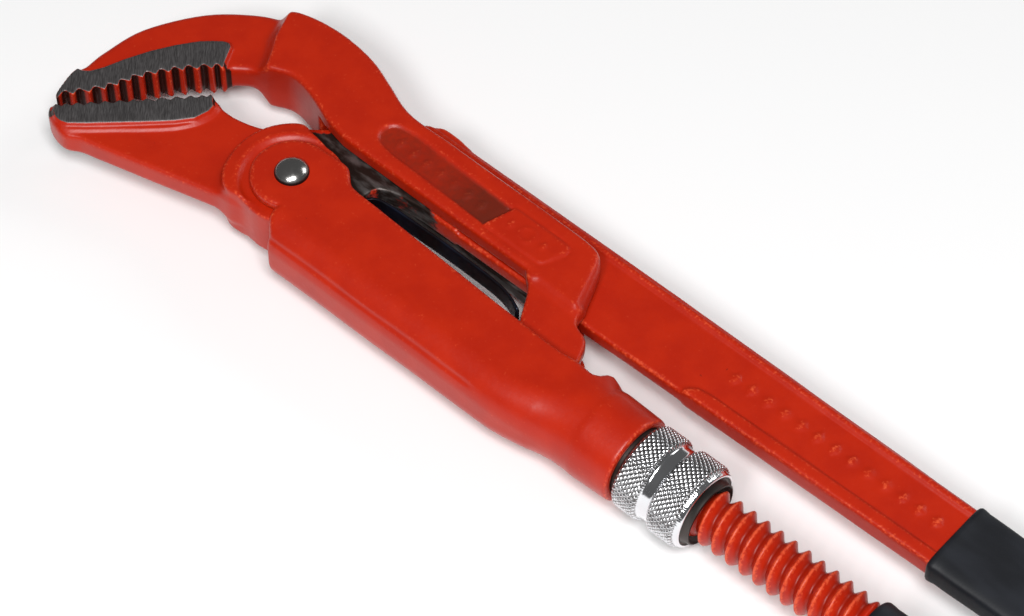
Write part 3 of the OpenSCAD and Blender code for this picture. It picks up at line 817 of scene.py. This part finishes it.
class WRENCH_OT_sleeve(bpy.types.Operator):
    """Make the sleeve: two ears and a rounded channel that blends into a tube"""
    bl_idname = "wrench.sleeve"
    bl_label = "Sleeve"

    def execute(self, context):
        s = context.scene.wrench
        g, c = s.forging, s.forging.cell
        block = Block(steps(42.0, (179, c)), steps(-24.2, (9.6, c)), steps(0.0, (13.8, c)))
        x, y, z = block.x, block.y, block.z
        side = block.away(np.vstack([
            smooth_run([(59.2, -14.5), (59.9, -17.2), (61.4, -19.2), (62.6, -20.8), (63.4, -26)], 4),
            [(190, -30), (190, 5.25), (159.3, 5.25), (158.2, 3.6), (157.6, 1.5), (156.2, 0.3), (150.2, 0.5),
             (148.6, 0.4), (146, 0.1)],
            smooth_run([(118.2, 1.3), (98.5, 2.4), (78.8, 3.4), (71.5, 3.8), (68.9, 4.5), (66.6, 6.5),
                        (64.6, 8.0),
                        (61.5, 8.3), (56, 7.95)], 4),
            [(PIVOT[0] + ear * math.cos(a), PIVOT[1] + ear * math.sin(a)) for ear, a in
             ((EAR_R, math.radians(d)) for d in range(95, 300, 8))]]))
        join = np.clip((x - 137) / 29, 0, 1)[..., None]
        join = join * join * (3 - 2 * join)
        half = SLEEVE_HALF + 1.2 * join[..., 0]
        corner = 8.3 + 3.7 * join
        bottom = -22.3 + 3.1 * join
        low = bottom + corner
        qz = np.abs(z) - (half[..., None] - corner)
        qy = low - y[..., None]
        wall = np.where((qz > 0) & (qy > 0), np.hypot(np.maximum(qz, 0), np.maximum(qy, 0)),
                        np.maximum(qz, qy)) - corner
        tube = np.hypot(y[..., None] - ROD_Y, z) - np.interp(x, [150, 166, 178], [12.4, 12.45, 12.0])[..., None]
        late = np.clip((x - 151) / 12, 0, 1)[..., None]
        shell = wall * (1 - late) + tube * late
        shell = shell + (wave(x, y) * 0.9)[..., None]
        crease = 0.35 * np.exp(-((z - 6.6) / 0.5) ** 2) * (y < -14)[..., None] * ramp(x - 136, 6.0)[..., None]
        shell = shell + crease
        field = both(shell, side[..., None], g.edge * 0.9)
        ring = both(np.maximum(tube, (x - SLEEVE_END)[..., None]), (163.5 - x)[..., None], 2.5)
        field = either(field, both(ring, (x - SLEEVE_END)[..., None], 0.9), 0.8)
        field = both(field, (x - SLEEVE_END)[..., None], 0.8)
        inner = np.where((z - 2.5 > 0) & (low - y[..., None] > 0),
                         np.hypot(np.maximum(z - 2.5, 0), np.maximum(-14 - y[..., None], 0)),
                         np.maximum(z - 2.5, -14 - y[..., None])) - 5.4
        inner = both(inner, (x - 152)[..., None], 0.8)
        bore = np.hypot(y[..., None] - ROD_Y, z) - np.where(x > 164.8, 9.9, 8.1)[..., None]
        bore = np.maximum(bore, (150 - x)[..., None])
        mouth = np.maximum(z - 7.9, 0.9 - y[..., None])
        mouth = both(np.maximum(mouth, (150 - x)[..., None]), (x - 156.6)[..., None], 0.6)
        field = both(field, -np.minimum(np.minimum(inner, bore), mouth), 0.5)
        points, faces = block.skin(field)
        finish_forging("sleeve_forging", points, faces, s.colours, "housing", ["sleeve"])
        return {"FINISHED"}


class WRENCH_OT_rivet(bpy.types.Operator):
    """Make the pivot rivet with its two domed heads"""
    bl_idname = "wrench.rivet"
    bl_label = "Pivot rivet"

    def execute(self, context):
        t = np.linspace(0, 1, 22)
        radius = HEAD_R * np.sin(t * math.pi / 2)
        height = SLEEVE_HALF - 0.35 + HEAD_HEIGHT * np.cos(t * math.pi / 2) ** 0.9
        head = np.stack([height, radius], 1)
        head = np.vstack([head, [SLEEVE_HALF - 0.9, 4.55], [SLEEVE_HALF - 0.9, 3.5]])
        profile = np.vstack([head, (head * (-1, 1))[::-1]])
        angle = np.arange(ROUND) * 2 * math.pi / ROUND
        grid = np.stack([PIVOT[0] + profile[:, 1:] * np.cos(angle), PIVOT[1] + profile[:, 1:] * np.sin(angle),
                         np.broadcast_to(profile[:, :1], (len(profile), ROUND))], 2)
        points, faces = close_rows(grid, True)
        # Painted shade: the mark rises towards the rim of each dome, which is darkened.
        rim = np.clip((np.hypot(points[:, 0] - PIVOT[0], points[:, 1] - PIVOT[1]) - 3.1) / 1.5, 0, 1) ** 1.3
        make_piece("pivot_rivet_domes", points, outward(points, faces), polished_rivet("rivet_steel"),
                   "housing",
                   ["pivot_rivet"], {"rim": rim})
        return {"FINISHED"}


class WRENCH_OT_nut(bpy.types.Operator):
    """Make the adjusting nut with two bands of diamond knurl"""
    bl_idname = "wrench.nut"
    bl_label = "Adjusting nut"

    def execute(self, context):
        s = context.scene.wrench.nut
        outer = NUT_R
        x0 = NUT_FACE
        rows = [(x0 - 13, 8.0, 0), (x0 - 13, 9.4, 0), (x0 - 12.4, 9.8, 0), (x0 - 1.0, 9.8, 0),
                (x0 - 0.2, 9.8, 0),
                (x0, 10.2, 0), (x0, 11.2, 0)]
        band = lambda a, b, n: [(v, outer - 0.55 * max(0, 1 - (v - a) / 0.7) - 0.55 * max(0,
            1 - (b - v) / 0.7), 1)
                                for v in np.linspace(a, b, n)]
        rows += band(x0 + 0.1, x0 + 7.6, 42)
        floor = outer - s.groove
        rows += [(x0 + 7.9, floor + 0.15, 0)] + [(v, floor, 0) for v in np.linspace(x0 + 8.1, x0 + 10.9, 6)]
        rows += [(x0 + 11.1, floor + 0.15, 0)]
        rows += band(x0 + 11.4, x0 + 19.6, 46)
        recess = x0 + 20.5
        rows += [(x0 + 20.0, outer - 0.9, 0), (x0 + 20.9, outer - 1.15, 0), (x0 + 21.2, outer - 1.6, 0),
                 (x0 + 20.9, outer - 2.2, 0), (recess + 0.1, 9.3, 0), (x0 + 22.6, 9.1, 0), (x0 + 22.9, 8.6, 0),
                 (x0 + 18.5, 8.1, 0), (x0 + 18.3, 7.8, 0), (x0 + 2, 7.8, 0)]
        rows = np.array(rows)
        around = s.diamonds * 8
        angle = np.arange(around) * 2 * math.pi / around
        turn = np.arange(around)[None, :] / 8
        along = (rows[:, :1] - x0) * s.diamonds / (2 * math.pi * outer)
        groove = lambda t: np.clip(1.25 - 2.6 * np.abs(t - np.round(t)), 0, 1)
        low = np.maximum(groove(turn + along), groove(turn - along)) * rows[:, 2:3]
        radius = rows[:, 1:2] - s.depth * low
        points, faces = close_rows(round_the_rod(rows[:, :1], radius, angle), False)
        # Painted shade: rows inside the bore, at the spigot and in the rear recess are marked fully dark.
        inner_shade_rows = (rows[:, 1:2] < 9) | (rows[:, :1] < x0) | ((rows[:, :1] > recess) & (rows[:, 1:2] < outer - 2))
        inside = np.broadcast_to(inner_shade_rows * 1.6, radius.shape)
        dark = np.maximum(low * 0.75, inside).reshape(-1)
        make_piece("adjusting_nut_knurled", points, outward(points, faces), chromed_steel("nut_chrome"),
                   "nut",
                   ["adjusting_nut"], {"low": dark})
        return {"FINISHED"}


class WRENCH_OT_rod(bpy.types.Operator):
    """Make the threaded rod, which is also the core of the lower handle"""
    bl_idname = "wrench.rod"
    bl_label = "Threaded rod"

    def execute(self, context):
        s = context.scene.wrench
        around, gap = ROUND, PITCH / 14
        xs = np.concatenate([[ROD_START, ROD_START, 156.5, 157.0], np.arange(157.3, GRIP_START + 1.5, gap),
                             [GRIP_START + 2, GRIP_START + 3, 398, ROD_END, ROD_END]])[:, None]
        angle = np.arange(around)[None, :] * 2 * math.pi / around
        phase = (xs - THREAD_START) / PITCH - angle / (2 * math.pi)
        swing = np.abs(phase - np.round(phase)) * 2
        ridge = np.clip(1.1 - 1.25 * swing, 0, 1)
        radius = ROOT_R + 0.05 + (CREST_R - ROOT_R - 0.08) * ridge
        fade = np.clip((xs - 157.2) / 2.0, 0, 1) * np.clip((GRIP_START + 1 - xs) / 3.5, 0, 1)
        radius = np.where((xs > 157.1) & (xs < GRIP_START + 1.6), ROOT_R + (radius - ROOT_R) * fade,
                          CREST_R - 0.05)
        radius = np.broadcast_to(radius, (len(xs), around)).copy()
        radius[0] = radius[-1] = 0
        points, faces = close_rows(round_the_rod(xs, radius, angle), True)
        # Painted shade and wear on the thread: the edge mark falls in the roots, which are darkened as painted
        # shade, and rises at the crests, which are paled as worn paint and painted highlight.
        crest = np.hypot(points[:, 1] - ROD_Y, points[:, 2])
        edge = (crest - (ROOT_R + CREST_R) / 2) / (CREST_R - ROOT_R) * 0.2
        edge = np.where(edge < 0, edge * 1.8, edge * 0.8)
        zero = np.zeros(len(points))
        make_piece("threaded_rod_turned", points, outward(points, faces),
                   painted_forging("rod_paint", s.colours),
                   "slider", ["threaded_rod"],
                   {"edge": edge, "bare": zero + NEVER_BARE, "rub_and_shade": zero, "grime_and_shade": zero})
        return {"FINISHED"}


class WRENCH_OT_spring(bpy.types.Operator):
    """Make the leaf spring under the shank, and finish its rivet and the nut's ring"""
    bl_idname = "wrench.spring"
    bl_label = "Leaf spring"

    def execute(self, context):
        # The spring lies low and wide in the gap under the shank; with its near-black colour it also fills that gap
        # as painted shade.
        path = np.vstack([[(70.7, -8.5), (70.7, -2.5)],
                          smooth_run([(70.7, 4.6), (71.6, 7.8), (74.2, 9.5), (79.2, 10)], 8),
                          smooth_run([(95.2, 10.3), (112.2, 10), (119.6, 9), (125, 6.9)], 8)])
        along = np.gradient(path, axis=0)
        along /= np.linalg.norm(along, axis=1)[:, None]
        normal = np.stack([-along[:, 1], along[:, 0]], 1)
        path = np.vstack([path[:1], path, path[-1:]])
        normal = np.vstack([normal[:1], normal, normal[-1:]])
        size = np.ones(len(path))
        size[0] = size[-1] = 0
        angle = np.arange(40) * 2 * math.pi / 40
        c, s = np.cos(angle), np.sin(angle)
        thick = SPRING_HALF * np.sign(c) * np.abs(c) ** 0.35
        wide = SPRING_HALF_WIDTH * np.sign(s) * np.abs(s) ** 0.35
        centre = path[:, None, :] + normal[:, None, :] * (thick[None, :] * size[:, None])[..., None]
        grid = np.concatenate([centre, np.broadcast_to(wide * size[:, None], centre.shape[:2])[..., None]], 2)
        points, faces = close_rows(grid, True)
        make_piece("leaf_spring_gap_shade", points, outward(points, faces), spring_steel_and_gap_shade("spring_gap_shade"), "lever",
                   ["leaf_spring"])
        steel = plain_steel("inner_steel")
        for node in ("spring_rivet", "nut_ring"):
            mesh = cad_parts[node].data
            mesh.materials.clear()
            mesh.materials.append(steel)
        return {"FINISHED"}


class WRENCH_OT_grips(bpy.types.Operator):
    """Make the two dipped grips"""
    bl_idname = "wrench.grips"
    bl_label = "Dipped grips"

    def execute(self, context):
        s = context.scene.wrench
        vinyl = dipped_vinyl("grip_vinyl", s.colours)
        end = HANDLE_END + 1.0
        xs = np.linspace(GRIP_START + 3, HANDLE_END - 8, 60)

        def cup(high, wide, coat, deep):
            """Rows of a closed cup: from the far end's middle, forward over the outside, round the lip and back."""
            rows = [(end, 0, 0), (end, high(end) - 5, wide - 3.0), (end - 0.4, high(end) - 2.2, wide - 1.2),
                    (end - 2, high(end) - 0.5, wide - 0.2)]
            rows += [(v, high(v) + 0.06 * math.sin(v * 0.37),
                      wide + 0.05 * math.sin(v * 0.23 + 1)) for v in xs[::-1]]
            lip = GRIP_START
            rows += [(lip + 1.7, high(lip) + 0.18, wide + 0.15), (lip + 0.7, high(lip) + 0.2, wide + 0.18),
                     (lip + 0.15, high(lip) - 0.1, wide - 0.1),
                     (lip - 0.1, high(lip) - 0.5 * coat, wide - 0.5 * coat),
                     (lip + 0.1, high(lip) - coat, wide - coat),
                     (lip + 1, high(lip) - coat - deep, wide - coat - deep),
                     (end - 5, high(end) - coat - deep - 1, wide - coat - deep), (end - 5, 0, 0)]
            return rows

        half = lambda v: 11.6 - 2.2 * (v - 84.7) / (HANDLE_END - 84.7) + 0.95
        grips = (("upper_grip_dipped", "lever", "upper_grip", cup(half, 4.25, 1.0, 0.4), SHANK_Y, 5.5),
                 ("lower_grip_dipped", "slider", "lower_grip",
                  cup(lambda v: CREST_R + 1.0, CREST_R + 1.0, 1.0, 0.4),
                  ROD_Y, 2.0))
        for name, body, node, rows, y, square in grips:
            points, faces = turned(rows, GRIP_AROUND, y, square)
            make_piece(name, points, outward(points, faces), vinyl, body, [node])
        return {"FINISHED"}


class WRENCH_OT_stage(bpy.types.Operator):
    """Set the camera, the floor and the soft lights"""
    bl_idname = "wrench.stage"
    bl_label = "Stage"

    def execute(self, context):
        s = context.scene.wrench.stage
        target = Vector((0.1223, 0.00785, 0.0))

        def aim(name, data, place, at):
            holder = bpy.data.objects.new(name, data)
            context.scene.collection.objects.link(holder)
            holder.location = place
            holder.rotation_euler = (Vector(at) - Vector(place)).to_track_quat("-Z", "Y").to_euler()
            return holder

        camera = bpy.data.cameras.new("camera")
        camera.lens, camera.sensor_width = s.lens, 36
        camera.clip_end = 50
        context.scene.camera = aim("camera", camera, (0.4728, -0.38835, 0.7281), target)
        low = min(corner[2] for corner in CAD_BOX)
        mesh = bpy.data.meshes.new("floor")
        mesh.from_pydata([(-6, -6, low), (6, -6, low), (6, 6, low), (-6, 6, low)], [], [(0, 1, 2, 3)])
        f = Finish("floor_paper")
        f.look(Base_Color=f.mix(f.noise(400.0).above(0.2, 0.8), (0.93, 0.93, 0.93), (0.95, 0.95, 0.95)),
               Roughness=0.8)
        mesh.materials.append(f.material)
        floor = bpy.data.objects.new("floor", mesh)
        context.scene.collection.objects.link(floor)
        for name, power, size, place in (("key", s.key, 0.45, (0.62, -0.42, 1.25)),
                                         ("fill", s.fill, 0.3, (0.36, -0.78, 0.95)),
                                         ("rim", s.rim, 0.7, (0.5, 1.3, 0.75))):
            light = bpy.data.lights.new(name, "AREA")
            light.energy, light.size = power, size
            aim(name, light, place, target)
        world = bpy.data.worlds.new("room")
        world.use_nodes = True
        shade = world.node_tree.nodes["Background"]
        shade.inputs["Color"].default_value = (1, 1, 1, 1)
        shade.inputs["Strength"].default_value = s.sky
        context.scene.world = world
        context.scene.view_settings.view_transform = "Standard"
        return {"FINISHED"}


OPERATORS = (WRENCH_OT_stage, WRENCH_OT_lever, WRENCH_OT_hook, WRENCH_OT_sleeve, WRENCH_OT_rivet, WRENCH_OT_nut,
             WRENCH_OT_rod, WRENCH_OT_spring, WRENCH_OT_grips)


class WRENCH_PT_panel(bpy.types.Panel):
    """Buttons that make the wrench piece by piece"""
    bl_idname = "WRENCH_PT_panel"
    bl_label = "Corner pipe wrench"
    bl_space_type = "VIEW_3D"
    bl_region_type = "UI"
    bl_category = "Wrench"

    def draw(self, context):
        for operator in OPERATORS:
            self.layout.operator(operator.bl_idname)


CLASSES = (WrenchForging, WrenchNut, WrenchColours, WrenchStage,
           WrenchSettings) + OPERATORS + (WRENCH_PT_panel,)


def register():
    for cls in CLASSES:
        bpy.utils.register_class(cls)
    bpy.types.Scene.wrench = PointerProperty(type=WrenchSettings)


def unregister():
    del bpy.types.Scene.wrench
    for cls in reversed(CLASSES):
        bpy.utils.unregister_class(cls)


def main():
    register()
    for operator in OPERATORS:
        group, name = operator.bl_idname.split(".")
        getattr(getattr(bpy.ops, group), name)()


if __name__ == "__main__":
    main()
